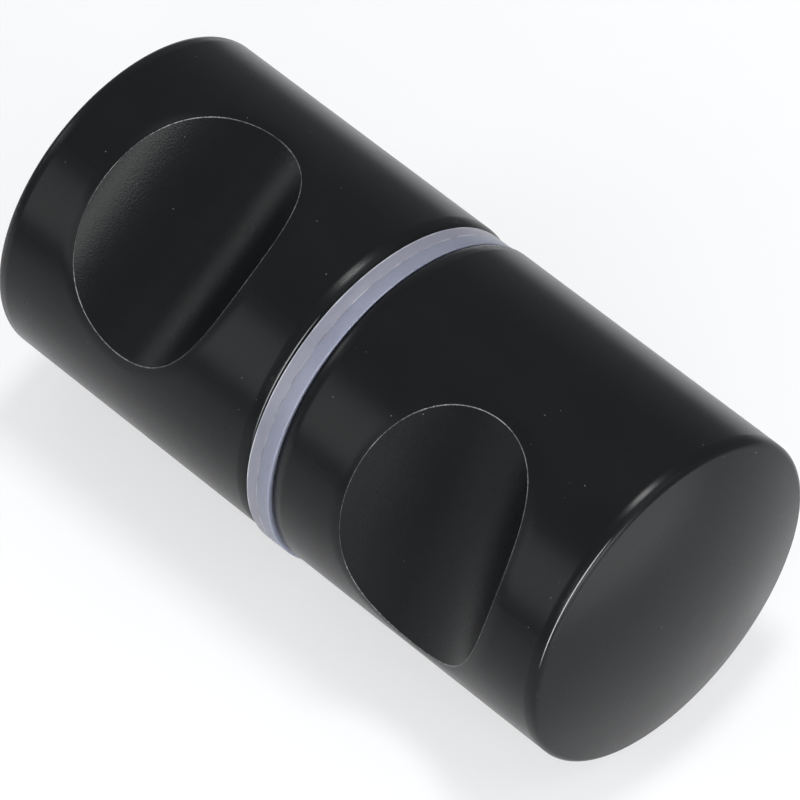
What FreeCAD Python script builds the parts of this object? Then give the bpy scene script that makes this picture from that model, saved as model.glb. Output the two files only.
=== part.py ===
# Shower door handle: two turned metal knobs, back to back, that clamp a glass door
# between a pair of soft gaskets. A threaded stud draws the knobs together, and a plastic
# sleeve on the stud keeps it off the edge of the hole in the glass.
# Millimetres. Y runs along the knobs' common axis from the outer knob to the inner one,
# Z is up, and the origin is on the axis where the two gaskets meet.
import FreeCAD, Part
import Sketcher
import math
import os

SIZES = {
    # turned body of a knob
    "knob_diameter": 30.0,
    "knob_length": 31.8,
    "dome_radius": 48.0,
    "tip_flat_diameter": 0.8,
    "rim_radius": 0.7,
    "base_radius": 0.9,
    # finger scoops, cut straight across a knob on opposite sides
    "scoop_radius": 9.45,
    "scoop_depth": 4.45,
    "scoop_height": 15.45,
    "scoop_edge_radius": 0.12,
    # how far each knob is screwed round, from the top towards -X
    "front_scoop_turn": 64.2,
    "rear_scoop_turn": 33.2,
    # soft gaskets, which slip off centre as far as their hole allows
    "gasket_thickness": 1.1,
    "gasket_overhang": 0.05,
    "gasket_edge_bevel": 0.06,
    "gasket_slip": 0.23,
    "gasket_slip_turn": 58.5,
    "gasket_clearance": 0.1,
    # threaded stud, plain at the thread's outer diameter
    "stud_diameter": 6.0,
    "stud_length": 35.0,
    "stud_chamfer": 0.8,
    "stud_clearance": 0.05,
    "stud_end_room": 4.0,
    "drill_point_angle": 118.0,
    # sleeve that lines the hole in the glass
    "sleeve_diameter": 10.0,
    "sleeve_length": 8.0,
    "sleeve_chamfer": 0.3,
    "sleeve_clearance": 0.2,
    "sleeve_bore_clearance": 0.15,
    "sleeve_end_room": 0.3,
}

NEAR = 1e-4

Y_AXIS = FreeCAD.Vector(0, 1, 0)
Z_AXIS = FreeCAD.Vector(0, 0, 1)

# which way a knob points from the middle
FRONT = -Y_AXIS
REAR = Y_AXIS

# Sketcher numbers the points of a curve by their place in this list
CURVE_POINTS = ["edge", "start", "end", "centre"]
START = CURVE_POINTS.index("start")
END = CURVE_POINTS.index("end")
CENTRE = CURVE_POINTS.index("centre")
# and a sketch's own origin is the start of its curve -1
ORIGIN = (-1, START)


def make_sheet(document):
    sheet = document.addObject("Spreadsheet::Sheet", "sizes")
    for row, (alias, value) in enumerate(SIZES.items(), 1):
        sheet.set(f"A{row}", alias)
        sheet.set(f"B{row}", str(value))
        sheet.setAlias(f"B{row}", alias)
    document.recompute()
    return sheet


def point(x, y):
    return FreeCAD.Vector(x, y, 0)


def new_body(document, label):
    body = document.addObject("PartDesign::Body", label)
    body.Label = label
    return body


def origin_plane(body, role):
    return next(feature for feature in body.Origin.OriginFeatures if feature.Role == role)


def new_sketch(body, name, role):
    sketch = body.newObject("Sketcher::SketchObject", name)
    sketch.AttachmentSupport = [(origin_plane(body, role), "")]
    sketch.MapMode = "FlatFace"
    return sketch


def new_feature(body, kind, name, **bindings):
    feature = body.newObject(f"PartDesign::{kind}", name)
    for property_name, formula in bindings.items():
        feature.setExpression(property_name, formula)
    return feature


def dimension(sketch, name, formula, kind, *elements):
    # a driving dimension that follows a formula of the sheet's sizes
    value = sketch.evalExpression(formula)
    index = sketch.addConstraint(Sketcher.Constraint(kind, *elements, value))
    sketch.renameConstraint(index, name)
    sketch.setExpression(f"Constraints.{name}", formula)


def constrain(sketch, kind, *elements):
    sketch.addConstraint(Sketcher.Constraint(kind, *elements))


def add_line(sketch, start, end):
    return sketch.addGeometry(Part.LineSegment(start, end), False)


def add_arc(sketch, centre, radius, start_angle, end_angle):
    circle = Part.Circle(centre, Z_AXIS, radius)
    return sketch.addGeometry(Part.ArcOfCircle(circle, start_angle, end_angle), False)


def add_circle(sketch, name, formula):
    # a circle about the sketch's origin, of the diameter that the formula gives
    radius = sketch.evalExpression(formula) / 2
    circle = sketch.addGeometry(Part.Circle(point(0, 0), Z_AXIS, radius), False)
    constrain(sketch, "Coincident", circle, CENTRE, *ORIGIN)
    dimension(sketch, name, formula, "Diameter", circle)


def check_cut(document, before, feature):
    document.recompute()
    if not feature.Shape.Volume < before.Shape.Volume - NEAR:
        raise RuntimeError(f"{feature.Name} cuts nothing")


def rim_edges(shape, radius):
    # the round edges of one radius
    names = []
    for number, edge in enumerate(shape.Edges, 1):
        if edge.Degenerated or not isinstance(edge.Curve, Part.Circle):
            continue
        if abs(edge.Curve.Radius - radius) < NEAR:
            names.append(f"Edge{number}")
    return names


def scoop_edges(shape):
    # the edges of the cylindrical faces that lie across the local Z axis
    scoops = []
    for face in shape.Faces:
        if isinstance(face.Surface, Part.Cylinder) and abs(face.Surface.Axis.z) < NEAR:
            scoops.append(face)
    names = []
    for number, edge in enumerate(shape.Edges, 1):
        if any(edge.isSame(scoop_edge) for scoop in scoops for scoop_edge in scoop.Edges):
            names.append(f"Edge{number}")
    return names


def along_axis(side, turn=0.0):
    # local Z goes out along the knobs' axis, and local X ends up at the turn from the top
    out = FreeCAD.Rotation(Z_AXIS, side)
    return FreeCAD.Rotation(Y_AXIS, -90 - turn) * out


def turned_profile(body, sizes):
    # half section of the solid knob: flat base, straight side and domed end, with round corners,
    # and at the dome's top the small flat where the turning tool runs out
    radius = sizes.knob_diameter / 2
    base_radius = sizes.base_radius
    rim_radius = sizes.rim_radius
    tip = point(sizes.tip_flat_diameter / 2, sizes.knob_length)
    dome_centre = point(0, tip.y - math.sqrt(sizes.dome_radius ** 2 - tip.x ** 2))
    dome_end = math.acos(tip.x / sizes.dome_radius)
    base_centre = point(radius - base_radius, base_radius)
    rim_drop = math.sqrt((sizes.dome_radius - rim_radius) ** 2 - (radius - rim_radius) ** 2)
    rim_centre = point(radius - rim_radius, dome_centre.y + rim_drop)
    dome_start = math.atan2(rim_drop, rim_centre.x)

    sketch = new_sketch(body, "half_section", "XZ_Plane")
    base = add_line(sketch, point(0, 0), point(base_centre.x, 0))
    base_round = add_arc(sketch, base_centre, base_radius, -math.pi / 2, 0)
    side = add_line(sketch, point(radius, base_radius), point(radius, rim_centre.y))
    rim_round = add_arc(sketch, rim_centre, rim_radius, 0, dome_start)
    dome = add_arc(sketch, dome_centre, sizes.dome_radius, dome_start, dome_end)
    tip_flat = add_line(sketch, tip, point(0, tip.y))
    axis = add_line(sketch, point(0, tip.y), point(0, 0))

    constrain(sketch, "Coincident", base, START, *ORIGIN)
    constrain(sketch, "Horizontal", base)
    outline = [base, base_round, side, rim_round, dome]
    for before, after in zip(outline, outline[1:]):
        constrain(sketch, "Tangent", before, END, after, START)
    constrain(sketch, "Coincident", dome, END, tip_flat, START)
    constrain(sketch, "Coincident", tip_flat, END, axis, START)
    constrain(sketch, "Coincident", axis, END, base, START)
    constrain(sketch, "Horizontal", tip_flat)
    constrain(sketch, "Vertical", side)
    constrain(sketch, "Vertical", axis)
    constrain(sketch, "PointOnObject", dome, CENTRE, axis)
    dimension(sketch, "radius", "sizes.knob_diameter / 2", "DistanceX", *ORIGIN, side, START)
    dimension(sketch, "length", "sizes.knob_length", "DistanceY", *ORIGIN, dome, END)
    dimension(sketch, "tip_radius", "sizes.tip_flat_diameter / 2", "DistanceX", *ORIGIN, dome, END)
    dimension(sketch, "base_radius", "sizes.base_radius", "Radius", base_round)
    dimension(sketch, "rim_radius", "sizes.rim_radius", "Radius", rim_round)
    dimension(sketch, "dome_radius", "sizes.dome_radius", "Radius", dome)
    return sketch


def scoop_profile(body, sizes):
    # the cutter's round section, seen along the scoop
    offset = "sizes.knob_diameter / 2 - sizes.scoop_depth + sizes.scoop_radius"
    sketch = new_sketch(body, "scoop_section", "XZ_Plane")
    centre = point(sketch.evalExpression(offset), sizes.scoop_height)
    circle = sketch.addGeometry(Part.Circle(centre, Z_AXIS, sizes.scoop_radius), False)
    dimension(sketch, "cutter_radius", "sizes.scoop_radius", "Radius", circle)
    dimension(sketch, "cutter_offset", offset, "DistanceX", *ORIGIN, circle, CENTRE)
    dimension(sketch, "cutter_height", "sizes.scoop_height", "DistanceY", *ORIGIN, circle, CENTRE)
    return sketch


def make_knob(document, sizes, label, side, turn):
    body = new_body(document, label)

    turned = new_feature(body, "Revolution", "turned")
    profile = turned_profile(body, sizes)
    turned.Profile = profile
    turned.ReferenceAxis = (profile, ["V_Axis"])
    turned.Angle = 360
    document.recompute()

    # tapped hole for the stud, opened out at the base to take the sleeve's end
    bore = "sizes.stud_diameter + 2 * sizes.stud_clearance"
    bore_sketch = new_sketch(body, "bore_centre", "XY_Plane")
    add_circle(bore_sketch, "bore_diameter", bore)
    document.recompute()
    tapped_hole = new_feature(body, "Hole", "tapped_hole")
    tapped_hole.Profile = bore_sketch
    tapped_hole.Reversed = True
    tapped_hole.DepthType = "Dimension"
    tapped_hole.DrillPoint = "Angled"
    tapped_hole.HoleCutType = "Counterbore"
    tapped_hole.setExpression("Diameter", bore)
    tapped_hole.setExpression(
        "Depth", "sizes.stud_length / 2 - sizes.gasket_thickness + sizes.stud_end_room")
    tapped_hole.setExpression("DrillPointAngle", "sizes.drill_point_angle")
    tapped_hole.setExpression("HoleCutDiameter", "sizes.sleeve_diameter + 2 * sizes.sleeve_clearance")
    tapped_hole.setExpression(
        "HoleCutDepth", "sizes.sleeve_length / 2 - sizes.gasket_thickness + sizes.sleeve_end_room")
    check_cut(document, turned, tapped_hole)

    scoop = new_feature(body, "Pocket", "scoop")
    scoop.Profile = scoop_profile(body, sizes)
    scoop.Type = "ThroughAll"
    scoop.SideType = "Symmetric"
    check_cut(document, tapped_hole, scoop)

    both_scoops = new_feature(body, "Mirrored", "both_scoops")
    both_scoops.Originals = [scoop]
    both_scoops.MirrorPlane = (origin_plane(body, "YZ_Plane"), [""])
    body.Tip = both_scoops
    check_cut(document, scoop, both_scoops)

    broken_edges = new_feature(body, "Fillet", "broken_scoop_edges", Radius="sizes.scoop_edge_radius")
    broken_edges.Base = (both_scoops, scoop_edges(both_scoops.Shape))
    body.Tip = broken_edges
    document.recompute()

    body.Placement = FreeCAD.Placement(side * sizes.gasket_thickness, along_axis(side, turn))
    return body


def make_ring(document, label, outside, inside, length, side_type, bevel):
    # a ring about the local Z axis, or a rod where it has no bore, with its outer edges bevelled
    body = new_body(document, label)
    sketch = new_sketch(body, "ring", "XY_Plane")
    add_circle(sketch, "outside_diameter", outside)
    if inside:
        add_circle(sketch, "inside_diameter", inside)
    blank = new_feature(body, "Pad", "blank", Length=length)
    blank.Profile = sketch
    blank.SideType = side_type
    document.recompute()

    bevelled = new_feature(body, "Chamfer", "bevelled_edges", Size=bevel)
    bevelled.Base = (blank, rim_edges(blank.Shape, body.evalExpression(outside) / 2))
    document.recompute()
    return body


def make_gasket(document, sizes, label, side):
    outside = "sizes.knob_diameter + 2 * sizes.gasket_overhang"
    inside = "sizes.sleeve_diameter + 2 * (sizes.gasket_slip + sizes.gasket_clearance)"
    body = make_ring(document, label, outside, inside,
                     "sizes.gasket_thickness", "One side", "sizes.gasket_edge_bevel")
    slip_turn = math.radians(sizes.gasket_slip_turn)
    slip = FreeCAD.Vector(-math.sin(slip_turn), 0, -math.cos(slip_turn)) * sizes.gasket_slip
    body.Placement = FreeCAD.Placement(slip, along_axis(side))
    return body


def make_stud(document):
    body = make_ring(document, "stud", "sizes.stud_diameter", None,
                     "sizes.stud_length", "Symmetric", "sizes.stud_chamfer")
    body.Placement = FreeCAD.Placement(FreeCAD.Vector(), along_axis(REAR))
    return body


def make_sleeve(document):
    inside = "sizes.stud_diameter + 2 * sizes.sleeve_bore_clearance"
    body = make_ring(document, "sleeve", "sizes.sleeve_diameter", inside,
                     "sizes.sleeve_length", "Symmetric", "sizes.sleeve_chamfer")
    body.Placement = FreeCAD.Placement(FreeCAD.Vector(), along_axis(REAR))
    return body


def check_document(document, bodies):
    for item in document.Objects:
        if "Invalid" in item.State or "Error" in item.State:
            raise RuntimeError(f"{item.Name} failed: {item.State}")
    for body in bodies:
        shape = body.Shape
        if shape.isNull() or not shape.isValid() or len(shape.Solids) != 1:
            raise RuntimeError(f"{body.Label} is not one sound solid")


def main():
    document = FreeCAD.newDocument("shower_door_handle")
    sizes = make_sheet(document)
    bodies = [
        make_knob(document, sizes, "knob_front", FRONT, sizes.front_scoop_turn),
        make_knob(document, sizes, "knob_rear", REAR, sizes.rear_scoop_turn),
        make_gasket(document, sizes, "gasket_front", FRONT),
        make_gasket(document, sizes, "gasket_rear", REAR),
        make_stud(document),
        make_sleeve(document),
    ]
    document.recompute()
    check_document(document, bodies)

    os.makedirs("parts", exist_ok=True)
    for body in bodies:
        body.Shape.exportStep(f"parts/{body.Label}.step")
        print(body.Label, round(body.Shape.Volume, 2), body.Shape.BoundBox)


main()
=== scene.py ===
# Shower door handle: finishes, thread, gaskets, floor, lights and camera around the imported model.
import bpy
import bmesh
import math
from mathutils import Matrix, Vector


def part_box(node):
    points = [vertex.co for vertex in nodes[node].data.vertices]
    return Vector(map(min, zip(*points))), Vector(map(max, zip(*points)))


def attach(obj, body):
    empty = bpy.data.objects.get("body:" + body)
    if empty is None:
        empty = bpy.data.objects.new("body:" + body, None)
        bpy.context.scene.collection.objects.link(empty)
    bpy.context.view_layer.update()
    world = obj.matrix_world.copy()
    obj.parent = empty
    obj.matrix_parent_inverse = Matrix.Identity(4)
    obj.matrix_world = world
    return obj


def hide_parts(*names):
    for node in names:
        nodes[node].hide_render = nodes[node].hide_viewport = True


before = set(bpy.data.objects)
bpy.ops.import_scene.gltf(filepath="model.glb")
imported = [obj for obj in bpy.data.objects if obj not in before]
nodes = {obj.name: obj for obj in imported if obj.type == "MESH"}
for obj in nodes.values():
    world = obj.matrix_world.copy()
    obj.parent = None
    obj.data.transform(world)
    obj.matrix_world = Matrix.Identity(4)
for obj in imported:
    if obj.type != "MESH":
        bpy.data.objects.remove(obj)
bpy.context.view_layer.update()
scene = bpy.context.scene
mm = 0.001  # the model is in metres
weldGap = 0.0005 * mm  # points of a new mesh that are closer than this become one
print("frame loaded:", ", ".join(sorted(nodes)))


# material helpers

def newFinish(name):
    finish = bpy.data.materials.new(name)
    finish.use_nodes = True
    tree = finish.node_tree
    return finish, tree, tree.nodes["Principled BSDF"]


def addNode(tree, kind, inputs=None, **settings):
    node = tree.nodes.new(kind)
    for key, value in settings.items():
        setattr(node, key, value)
    for key, value in (inputs or {}).items():
        node.inputs[key].default_value = value
    return node


def join(tree, fromSocket, toSocket):
    tree.links.new(fromSocket, toSocket)


def ownPlace(tree):
    return addNode(tree, "ShaderNodeTexCoord").outputs["Object"]


def ownParts(tree):
    parts = addNode(tree, "ShaderNodeSeparateXYZ")
    join(tree, ownPlace(tree), parts.inputs["Vector"])
    return parts.outputs["X"], parts.outputs["Y"], parts.outputs["Z"]


def speckle(tree, size, detail=2.0, roughness=0.5):
    # noise whose blobs are about this size, in the part's own metres
    settings = {"Scale": 1 / size, "Detail": detail, "Roughness": roughness}
    noise = addNode(tree, "ShaderNodeTexNoise", settings)
    join(tree, ownPlace(tree), noise.inputs["Vector"])
    return noise.outputs["Fac"]


def spread(tree, value, low, high, fromLow=0.25, fromHigh=0.75, kind="LINEAR"):
    # low at fromLow, high at fromHigh, and level beyond them
    limits = {"From Min": fromLow, "From Max": fromHigh, "To Min": low, "To Max": high}
    ranged = addNode(tree, "ShaderNodeMapRange", limits, interpolation_type=kind)
    join(tree, value, ranged.inputs["Value"])
    return ranged.outputs["Result"]


def sums(tree, kind, first, second=0.0):
    node = addNode(tree, "ShaderNodeMath", operation=kind)
    for socket, value in zip(node.inputs, (first, second)):
        if isinstance(value, (int, float)):
            socket.default_value = value
        else:
            join(tree, value, socket)
    return node.outputs["Value"]


def lengthOf(tree, first, second):
    squares = sums(tree, "ADD", sums(tree, "POWER", first, 2), sums(tree, "POWER", second, 2))
    return sums(tree, "SQRT", squares)


def gapTo(tree, value, mark):
    return sums(tree, "ABSOLUTE", sums(tree, "SUBTRACT", value, mark))


def blend(tree, factor, first, second):
    mix = addNode(tree, "ShaderNodeMix", data_type="RGBA")
    join(tree, factor, mix.inputs[0])
    for socket, colour in zip((mix.inputs[6], mix.inputs[7]), (first, second)):
        if isinstance(colour, tuple):
            socket.default_value = (*colour, 1)
        else:
            join(tree, colour, socket)
    return mix.outputs[2]


def clouded(tree, cloud, colour, shift):
    # the colour, darker and lighter by this share from cloud to cloud
    darker = tuple(part * (1 - shift) for part in colour)
    lighter = tuple(part * (1 + shift) for part in colour)
    return blend(tree, cloud, darker, lighter)


def relief(tree, height, distance, under=None):
    bump = addNode(tree, "ShaderNodeBump", {"Strength": 1.0, "Distance": distance})
    join(tree, height, bump.inputs["Height"])
    if under:
        join(tree, under, bump.inputs["Normal"])
    return bump.outputs["Normal"]


def dress(piece, finish):
    piece.data.materials.clear()
    piece.data.materials.append(finish)


def newPiece(name, vertices, faces, smoothAngle):
    mesh = bpy.data.meshes.new(name)
    mesh.from_pydata(vertices, [], faces)
    shape = bmesh.new()
    shape.from_mesh(mesh)
    bmesh.ops.remove_doubles(shape, verts=shape.verts, dist=weldGap)
    bmesh.ops.recalc_face_normals(shape, faces=shape.faces)
    shape.to_mesh(mesh)
    shape.free()
    for face in mesh.polygons:
        face.use_smooth = True
    mesh.set_sharp_from_angle(angle=math.radians(smoothAngle))
    piece = bpy.data.objects.new(name, mesh)
    scene.collection.objects.link(piece)
    return piece


# knobs: satin black, sprayed over a turned body

knobFinish = {
    "colour": (0.0066, 0.0072, 0.0078),
    "colourShift": 0.1,
    "cloudSize": 5 * mm,
    "ior": 1.27,
    "roughness": (0.25, 0.29),
    "grainSize": 0.14 * mm,
    "grainRoughness": 0.6,
    "grainHeight": (0.002 * mm, 0.024 * mm),  # on the side, and in the scoops
    "grainFade": (0.02 * mm, 0.2 * mm),  # from one to the other over this width
    "dustSpacing": 1.7 * mm,
    "dustRadius": (0.033 * mm, 0.055 * mm),  # a spot is solid inside the first, gone outside the second
    "dustColour": (0.2, 0.2, 0.2),
    "edgeWearAndGlintColour": (0.46, 0.46, 0.46),  # worn bright along the scoops' edges, and partly a painted highlight standing in for their glints; also the colour of the painted glint on the rounds
    "edgeWidth": (0.01 * mm, 0.042 * mm),
    "nickSize": 0.25 * mm,
    "nickShare": (0.3, 1.0),
    "stretchShare": (0.25, 1.0),
    "wearRange": (0.35, 0.6),
    "glintTurn": -50.0,  # a painted glint on one stretch of the rounds, this far round from the top
    "glintReach": (13.6 * mm, 14.5 * mm),
    "rollWidth": 1.0 * mm,  # the polished side rolls over a little towards its edges
    "rollHeight": 0.13 * mm,
    "endRoll": (-0.32 * mm, 0.55 * mm),
    "sideEnds": (2.0 * mm, 29.99 * mm),  # where the side meets the base's and the rim's rounds
}
scoopCut = {
    "knobRadius": 15.0 * mm,
    "cutterRadius": 9.45 * mm,
    "cutterOut": 20.0 * mm,  # cutter's centre from the knob's axis
    "cutterAlong": 16.55 * mm,  # and from the seam between the gaskets
}
knobPair = [
    {"node": "knob_front", "turn": 64.2, "glintAt": 30.36 * mm},  # painted glint on the rim's round
    {"node": "knob_rear", "turn": 33.2, "glintAt": 1.5 * mm},  # painted glint on the base's round
]


def alongTurn(tree, turn):
    # how far a place lies out from the knob's axis in this direction
    direction = (math.sin(turn), 0, math.cos(turn))
    outward = addNode(tree, "ShaderNodeVectorMath", {1: direction}, operation="DOT_PRODUCT")
    join(tree, ownPlace(tree), outward.inputs[0])
    return outward.outputs["Value"]


def edgeDistances(tree, turn):
    # how far a place is from the knob's plain side, from the round that the cutter left, from the side's
    # ends and from the seam
    x, y, z = ownParts(tree)
    fromSeam = sums(tree, "ABSOLUTE", y)
    fromSide = gapTo(tree, lengthOf(tree, x, z), scoopCut["knobRadius"])
    out = sums(tree, "SUBTRACT", sums(tree, "ABSOLUTE", alongTurn(tree, -turn)), scoopCut["cutterOut"])
    along = sums(tree, "SUBTRACT", fromSeam, scoopCut["cutterAlong"])
    fromScoop = gapTo(tree, lengthOf(tree, out, along), scoopCut["cutterRadius"])
    baseEnd, rimEnd = knobFinish["sideEnds"]
    fromBase = sums(tree, "SUBTRACT", fromSeam, baseEnd)
    fromRim = sums(tree, "SUBTRACT", rimEnd, fromSeam)
    fromEnds = sums(tree, "MINIMUM", fromBase, fromRim)
    return {"side": fromSide, "scoop": fromScoop, "ends": fromEnds, "seam": fromSeam}


def dustSpots(tree):
    spacing = knobFinish["dustSpacing"]
    cells = addNode(tree, "ShaderNodeTexVoronoi", {"Scale": 1 / spacing, "Randomness": 1.0})
    join(tree, ownPlace(tree), cells.inputs["Vector"])
    solid, gone = knobFinish["dustRadius"]
    return spread(tree, cells.outputs["Distance"], 1.0, 0.0, solid / spacing, gone / spacing)


def paintedGlintsAndEdgeWear(tree, cloud, distances, glintAt):
    # the scoops' edges: worn bright, with a painted highlight along them standing in for their glints
    offEdge = sums(tree, "MAXIMUM", distances["side"], distances["scoop"])
    scoopLine = spread(tree, offEdge, 1.0, 0.0, *knobFinish["edgeWidth"])
    nickNoise = speckle(tree, knobFinish["nickSize"])
    nicks = spread(tree, nickNoise, *knobFinish["nickShare"], *knobFinish["wearRange"])
    stretches = spread(tree, cloud, *knobFinish["stretchShare"], *knobFinish["wearRange"])
    scoopWearAndGlint = sums(tree, "MULTIPLY", scoopLine, sums(tree, "MULTIPLY", nicks, stretches))
    # painted glint: a pale line on the rim's or the base's round, on one stretch round the knob where a
    # lamp would glint
    roundGlintLine = spread(tree, gapTo(tree, distances["seam"], glintAt), 1.0, 0.0, *knobFinish["edgeWidth"])
    towardsGlint = alongTurn(tree, math.radians(knobFinish["glintTurn"]))
    glintSector = spread(tree, towardsGlint, 0.0, 1.0, *knobFinish["glintReach"])
    return sums(tree, "MAXIMUM", scoopWearAndGlint, sums(tree, "MULTIPLY", roundGlintLine, glintSector))


def knobRelief(tree, distances):
    # the side's roll towards the scoops and the rounds, with the spray's grain on top
    nearScoop = spread(tree, distances["scoop"], 1.0, 0.0, 0.0, knobFinish["rollWidth"])
    nearEnd = spread(tree, distances["ends"], 1.0, 0.0, *knobFinish["endRoll"], "SMOOTHSTEP")
    drop = sums(tree, "ADD", sums(tree, "POWER", nearScoop, 2), nearEnd)
    rolled = relief(tree, sums(tree, "SUBTRACT", 0.0, drop), knobFinish["rollHeight"])
    sideGrain, scoopGrain = knobFinish["grainHeight"]
    grainShare = spread(tree, distances["scoop"], 1.0, sideGrain / scoopGrain, *knobFinish["grainFade"])
    grain = speckle(tree, knobFinish["grainSize"], roughness=knobFinish["grainRoughness"])
    return relief(tree, sums(tree, "MULTIPLY", grain, grainShare), scoopGrain, rolled)


def satinBlack(name, turn, glintAt):
    finish, tree, shader = newFinish(name)
    distances = edgeDistances(tree, turn)
    cloud = speckle(tree, knobFinish["cloudSize"])
    paint = clouded(tree, cloud, knobFinish["colour"], knobFinish["colourShift"])
    dusty = blend(tree, dustSpots(tree), paint, knobFinish["dustColour"])
    # pale worn edges and painted glints laid over the paint
    glintsAndWear = paintedGlintsAndEdgeWear(tree, cloud, distances, glintAt)
    join(tree, blend(tree, glintsAndWear, dusty, knobFinish["edgeWearAndGlintColour"]), shader.inputs["Base Color"])
    join(tree, spread(tree, cloud, *knobFinish["roughness"]), shader.inputs["Roughness"])
    join(tree, knobRelief(tree, distances), shader.inputs["Normal"])
    shader.inputs["IOR"].default_value = knobFinish["ior"]
    return finish


for knob in knobPair:
    black = satinBlack(knob["node"] + "_black", math.radians(knob["turn"]), knob["glintAt"])
    dress(nodes[knob["node"]], black)
print("knobs finished")


# gaskets: soft clear washers, milky at the edge

gasketShape = {
    "radius": 15.05 * mm,
    "bore": 5.33 * mm,
    "thickness": 1.1 * mm,
    "knobRound": 0.06 * mm,
    "seamRound": 0.02 * mm,
    "seamGap": 0.004 * mm,
    "slip": 0.23 * mm,  # off the knobs' axis
    "slipTurn": 58.5,
    "wobble": 0.035 * mm,  # the cut edge isn't quite round
    "wobbleWaves": (3, 7, 13),
    "baseRound": (14.1 * mm, 0.9 * mm),  # the round of the knob's base that the lip swells against
    "baseGap": 0.02 * mm,
    "steps": 240,
    "cornerSteps": 5,
    "smoothAngle": 35,
}
gasketFinish = {
    "colourShift": 0.06,
    "cloudSize": 1.5 * mm,
    "roughness": (0.3, 0.42),
    "bloomSize": 0.25 * mm,
    "bloomGrain": (3.0, 0.6),  # detail and roughness of its noise
    "bloomHeight": 0.004 * mm,
    "milkiness": 0.9,
    "inside": 0.8 * mm,  # how far light goes in
    "seamWidth": (0.02 * mm, 0.05 * mm),  # a fine pale line at the seam, a painted highlight of light catching the cut edges
    "seamHighlightColour": (0.62, 0.62, 0.68),
    "rimHighlightWidth": (0.05 * mm, 0.11 * mm),  # and a brighter painted highlight at the rear gasket's rim, where its cut edge catches the light
    "rimHighlightColour": (0.85, 0.85, 0.9),
    "rimCloudSize": 4 * mm,
    "rimPatches": (0.2, 1.0),
    "patchRange": (0.4, 0.6),  # both lines come and go
}
gasketPair = [
    {"name": "gasket_front_soft", "node": "gasket_front", "side": -1, "seed": 1.0, "lip": 0.2 * mm,
     "colour": (0.27, 0.285, 0.363), "rim": 0.0},
    {"name": "gasket_rear_soft", "node": "gasket_rear", "side": 1, "seed": 2.3, "lip": 0.05 * mm,
     "colour": (0.29, 0.29, 0.353), "rim": 0.9},
]


def gasketSection(radius, lip, offAxis):
    # outline of the ring's section, as (distance from its axis, height off the seam)
    thickness = gasketShape["thickness"]
    top = thickness + lip
    low = gasketShape["seamGap"]
    bore = gasketShape["bore"]
    steps = gasketShape["cornerSteps"]
    outline = [(bore, low)]
    for corner, height, turn in (("seamRound", low, -90), ("knobRound", top, 0)):
        bend = gasketShape[corner]
        lift = bend if turn else -bend
        for step in range(steps + 1):
            angle = math.radians(turn + 90 * step / steps)
            outline.append((radius - bend + bend * math.cos(angle), height + lift + bend * math.sin(angle)))
    roundStart, roundRadius = gasketShape["baseRound"]
    for step in range(steps):
        rise = lip * (1 - (step + 1) / steps) ** 2
        along = roundStart + math.sqrt(roundRadius ** 2 - (roundRadius - rise) ** 2)
        outline.append((along + gasketShape["baseGap"] - offAxis, thickness + rise))
    outline.append((bore, thickness))
    return outline


def makeGasket(name, node, side, seed, lip):
    steps = gasketShape["steps"]
    waves = gasketShape["wobbleWaves"]
    turn = math.radians(gasketShape["slipTurn"])
    centre = Vector((-math.sin(turn), 0, -math.cos(turn))) * gasketShape["slip"]
    vertices = []
    count = len(gasketSection(gasketShape["radius"], lip, 0.0))
    for step in range(steps):
        angle = 2 * math.pi * step / steps
        outward = Vector((math.cos(angle), 0, math.sin(angle)))
        wave = sum(math.sin(order * angle + seed * order) for order in waves) / len(waves)
        radius = gasketShape["radius"] - gasketShape["wobble"] * (0.5 + 0.5 * wave)
        for across, height in gasketSection(radius, lip, centre.dot(outward)):
            vertices.append(centre + outward * across + Vector((0, side * height, 0)))
    faces = []
    for step in range(steps):
        here = step * count
        there = (step + 1) % steps * count
        for index in range(count):
            after = (index + 1) % count
            faces.append((here + index, here + after, there + after, there + index))
    gasket = newPiece(name, vertices, faces, gasketShape["smoothAngle"])
    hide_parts(node)
    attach(gasket, "root")
    return gasket


def paleLines(tree, cloud, milky, rimHighlightShare):
    y = ownParts(tree)[1]
    fromSeam = sums(tree, "ABSOLUTE", y)
    # painted highlight: a fine pale line along the seam
    seam = spread(tree, fromSeam, 1.0, 0.0, *gasketFinish["seamWidth"])
    seamPatches = spread(tree, cloud, 0.0, 1.0, *gasketFinish["patchRange"])
    withSeamHighlight = blend(tree, sums(tree, "MULTIPLY", seam, seamPatches), milky, gasketFinish["seamHighlightColour"])
    fromKnob = sums(tree, "SUBTRACT", gasketShape["thickness"], fromSeam)
    # painted highlight: a brighter pale line at the rim next to the knob
    rim = spread(tree, fromKnob, rimHighlightShare, 0.0, *gasketFinish["rimHighlightWidth"])
    rimCloud = speckle(tree, gasketFinish["rimCloudSize"])
    rimPatches = spread(tree, rimCloud, *gasketFinish["rimPatches"], *gasketFinish["patchRange"])
    return blend(tree, sums(tree, "MULTIPLY", rim, rimPatches), withSeamHighlight, gasketFinish["rimHighlightColour"])


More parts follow.
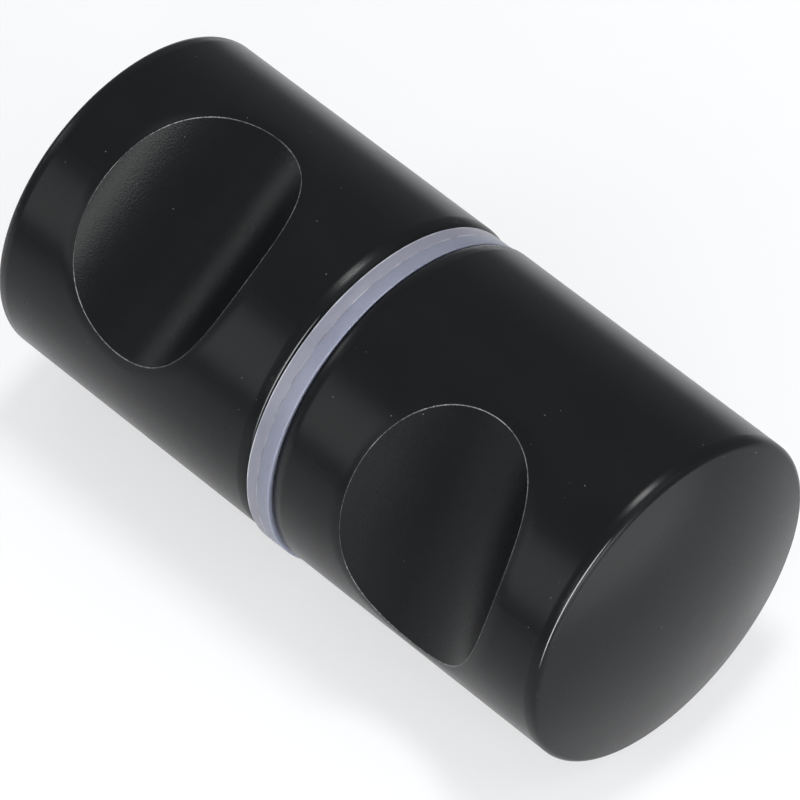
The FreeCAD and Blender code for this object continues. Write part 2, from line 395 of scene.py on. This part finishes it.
def clearGasket(name, colour, rimHighlightShare):
    finish, tree, shader = newFinish(name)
    cloud = speckle(tree, gasketFinish["cloudSize"])
    bloom = speckle(tree, gasketFinish["bloomSize"], *gasketFinish["bloomGrain"])
    milky = clouded(tree, cloud, colour, gasketFinish["colourShift"])
    join(tree, paleLines(tree, cloud, milky, rimHighlightShare), shader.inputs["Base Color"])
    join(tree, spread(tree, bloom, *gasketFinish["roughness"]), shader.inputs["Roughness"])
    join(tree, relief(tree, bloom, gasketFinish["bloomHeight"]), shader.inputs["Normal"])
    shader.inputs["Subsurface Weight"].default_value = gasketFinish["milkiness"]
    shader.inputs["Subsurface Radius"].default_value = (1.0, 1.0, 1.0)
    shader.inputs["Subsurface Scale"].default_value = gasketFinish["inside"]
    return finish


for entry in gasketPair:
    gasket = makeGasket(entry["name"], entry["node"], entry["side"], entry["seed"], entry["lip"])
    dress(gasket, clearGasket(entry["name"] + "_clear", entry["colour"], entry["rim"]))
print("gaskets made")


# stud: zinc plated steel with its M6 thread

studShape = {
    "length": 35.0 * mm,
    "pitch": 1.0 * mm,
    "crest": 3.0 * mm,
    "root": 2.387 * mm,
    "endRadius": 2.2 * mm,
    "chamfer": 0.8 * mm,
    "spareTurns": 2,  # turns that run past the ends and are cut off there
    "leadTurns": 1.5,  # how many of them come before the first end
    "columns": 60,
    "smoothAngle": 28,
}
studFinish = {
    "colours": ((0.5, 0.51, 0.52), (0.62, 0.63, 0.64)),
    "cloudSize": 2 * mm,
    "roughness": (0.26, 0.4),
    "streakSize": 0.1 * mm,
    "streakDetail": 3.0,
    "streakHeight": 0.001 * mm,
}
# one turn of the thread: share of the pitch, and share of the thread's depth cut away there
threadTurn = [
    (0.0, 0.0), (0.125, 0.0), (0.28125, 0.5), (0.4375, 1.0), (0.5625, 1.0), (0.6875, 1.0), (0.84375, 0.5),
]


def studRadius(cut, along):
    depth = studShape["crest"] - studShape["root"]
    fromEnd = studShape["length"] / 2 - abs(along)
    slope = (studShape["crest"] - studShape["endRadius"]) / studShape["chamfer"]
    return min(studShape["crest"] - depth * cut, studShape["endRadius"] + slope * fromEnd)


def makeStud():
    half = studShape["length"] / 2
    pitch = studShape["pitch"]
    columns = studShape["columns"]
    turns = round(studShape["length"] / pitch) + studShape["spareTurns"]
    rows = turns * len(threadTurn)
    vertices = []
    for column in range(columns + 1):
        angle = 2 * math.pi * column / columns
        start = -half - studShape["leadTurns"] * pitch + pitch * column / columns
        for row in range(rows):
            share, cut = threadTurn[row % len(threadTurn)]
            along = max(-half, min(half, start + pitch * (row // len(threadTurn) + share)))
            radius = studRadius(cut, along)
            vertices.append((radius * math.cos(angle), along, radius * math.sin(angle)))
    faces = []
    for column in range(columns):
        for row in range(rows - 1):
            corner = column * rows + row
            faces.append((corner, corner + 1, corner + rows + 1, corner + rows))
    for end in (0, rows - 1):
        faces.append(tuple(column * rows + end for column in range(columns)))
    stud = newPiece("stud_threaded", vertices, faces, studShape["smoothAngle"])
    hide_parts("stud")
    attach(stud, "root")
    return stud


def zincSteel():
    finish, tree, shader = newFinish("zincSteel")
    cloud = speckle(tree, studFinish["cloudSize"])
    streak = speckle(tree, studFinish["streakSize"], studFinish["streakDetail"])
    join(tree, blend(tree, cloud, *studFinish["colours"]), shader.inputs["Base Color"])
    join(tree, spread(tree, streak, *studFinish["roughness"]), shader.inputs["Roughness"])
    join(tree, relief(tree, streak, studFinish["streakHeight"]), shader.inputs["Normal"])
    shader.inputs["Metallic"].default_value = 1.0
    return finish


dress(makeStud(), zincSteel())
print("stud made")


# sleeve: clear plastic bush

sleeveFinish = {
    "colours": ((0.8, 0.83, 0.85), (0.88, 0.9, 0.92)),
    "cloudSize": 2 * mm,
    "roughness": (0.12, 0.22),
    "hazeSize": 0.2 * mm,
    "hazeDetail": 3.0,
    "clearness": 0.8,
    "ior": 1.49,
}


def clearSleeve():
    finish, tree, shader = newFinish("clearSleeve")
    cloud = speckle(tree, sleeveFinish["cloudSize"])
    haze = speckle(tree, sleeveFinish["hazeSize"], sleeveFinish["hazeDetail"])
    join(tree, blend(tree, cloud, *sleeveFinish["colours"]), shader.inputs["Base Color"])
    join(tree, spread(tree, haze, *sleeveFinish["roughness"]), shader.inputs["Roughness"])
    shader.inputs["Transmission Weight"].default_value = sleeveFinish["clearness"]
    shader.inputs["IOR"].default_value = sleeveFinish["ior"]
    return finish


dress(nodes["sleeve"], clearSleeve())
print("sleeve finished")


# camera

cameraView = {
    "azimuth": -44.42,
    "elevation": 48.84,
    "distance": 583.44 * mm,
    "across": 0.417 * mm,
    "up": -0.568 * mm,
    "lens": 329.43,
    "sensor": 36.0,
    "clip": (0.01, 20.0),
}


def makeCamera():
    azimuth = math.radians(cameraView["azimuth"])
    elevation = math.radians(cameraView["elevation"])
    level = math.cos(elevation)
    right = Vector((math.cos(azimuth), math.sin(azimuth), 0))
    back = Vector((math.sin(azimuth) * level, -math.cos(azimuth) * level, math.sin(elevation)))
    up = back.cross(right)
    lens = bpy.data.cameras.new("photoCamera")
    lens.lens = cameraView["lens"]
    lens.sensor_width = cameraView["sensor"]
    lens.clip_start, lens.clip_end = cameraView["clip"]
    camera = bpy.data.objects.new("photoCamera", lens)
    scene.collection.objects.link(camera)
    place = right * cameraView["across"] + up * cameraView["up"] + back * cameraView["distance"]
    turn = Matrix((right, up, back)).transposed().to_4x4()
    camera.matrix_world = Matrix.Translation(place) @ turn
    scene.camera = camera


makeCamera()
print("camera placed")


# floor and lights

floorLook = {
    "width": 4.0,
    "colour": (0.45, 0.455, 0.46),
    "farShadeColour": (0.32, 0.345, 0.365),  # painted shade: the floor falls off to grey beyond the object, as if the light fell off there
    "glow": (0.56, 0.56, 0.565),  # lifts the floor to near white where it is seen, and lights nothing
    "farGlow": (0.0, 0.0, 0.0),
    "fade": (88 * mm, 170 * mm),
    "roughness": 0.9,
}


def paleFloor():
    finish, tree, shader = newFinish("paleFloor")
    distance = addNode(tree, "ShaderNodeVectorMath", operation="LENGTH")
    join(tree, ownPlace(tree), distance.inputs[0])
    # painted shade: the floor's colour and glow fall off to grey beyond the object
    shadeFalloff = spread(tree, distance.outputs["Value"], 0.0, 1.0, *floorLook["fade"])
    join(tree, blend(tree, shadeFalloff, floorLook["colour"], floorLook["farShadeColour"]), shader.inputs["Base Color"])
    join(tree, blend(tree, shadeFalloff, floorLook["glow"], floorLook["farGlow"]), shader.inputs["Emission Color"])
    rays = addNode(tree, "ShaderNodeLightPath").outputs
    mirrored = sums(tree, "MAXIMUM", rays["Is Glossy Ray"], rays["Is Transmission Ray"])
    seen = sums(tree, "MAXIMUM", rays["Is Camera Ray"], mirrored)
    join(tree, seen, shader.inputs["Emission Strength"])
    shader.inputs["Roughness"].default_value = floorLook["roughness"]
    shader.inputs["Specular IOR Level"].default_value = 0.0
    return finish


def makeFloor():
    lowest = min(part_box(name)[0].z for name in nodes)
    half = floorLook["width"] / 2
    mesh = bpy.data.meshes.new("floor")
    corners = [(-half, -half, lowest), (half, -half, lowest), (half, half, lowest), (-half, half, lowest)]
    mesh.from_pydata(corners, [], [(0, 1, 2, 3)])
    floor = bpy.data.objects.new("floor", mesh)
    scene.collection.objects.link(floor)
    dress(floor, paleFloor())


makeFloor()

# bearing goes round from +X, and these lamps look at the origin
lampSet = [
    {"name": "frontSoftbox", "bearing": 248, "elevation": 15, "distance": 0.32,
     "size": (0.3, 0.15), "power": 0.76},
    {"name": "topSoftbox", "bearing": 290, "elevation": 52, "distance": 0.9,
     "size": (0.6, 0.5), "power": 0.8},
    {"name": "overheadLamp", "bearing": 4, "elevation": 82, "distance": 0.9,
     "size": (0.13, 0.23), "power": 2.9},
    {"name": "leftSoftbox", "bearing": 152, "elevation": 21, "distance": 0.9,
     "size": (0.45, 0.55), "power": 1.35},
    {"name": "lowLeftLamp", "bearing": 207, "elevation": 20, "distance": 0.9,
     "size": (0.13, 0.13), "power": 0.82},
    {"name": "backFill", "bearing": 103, "elevation": 21, "distance": 0.9,
     "size": (0.2, 0.2), "power": 0.42},
]
# a light panel that lies on the floor in front of the outer knob
panelLamp = {"name": "frontPanel", "place": (-0.004, -0.117, -0.0148), "size": (0.12, 0.1), "power": 0.055}


def newLamp(lamp, shape, place, facing):
    light = bpy.data.lights.new(lamp["name"], "AREA")
    light.shape = shape
    light.size, light.size_y = lamp["size"]
    light.energy = lamp["power"]
    holder = bpy.data.objects.new(lamp["name"], light)
    scene.collection.objects.link(holder)
    holder.location = place
    holder.rotation_euler = facing.to_track_quat("-Z", "Y").to_euler()
    return holder


def makeLamps():
    for lamp in lampSet:
        bearing = math.radians(lamp["bearing"])
        elevation = math.radians(lamp["elevation"])
        level = math.cos(elevation)
        toLamp = Vector((level * math.cos(bearing), level * math.sin(bearing), math.sin(elevation)))
        newLamp(lamp, "RECTANGLE", toLamp * lamp["distance"], -toLamp)
    panel = newLamp(panelLamp, "ELLIPSE", panelLamp["place"], Vector((0, 0, 1)))
    panel.visible_camera = False


makeLamps()

skyLook = {"colour": (0.34, 0.35, 0.365), "strength": 1.0}
world = bpy.data.worlds.new("studio")
world.use_nodes = True
scene.world = world
sky = world.node_tree.nodes["Background"]
sky.inputs["Color"].default_value = (*skyLook["colour"], 1)
sky.inputs["Strength"].default_value = skyLook["strength"]
scene.view_settings.view_transform = "Standard"
print("floor and lights placed")
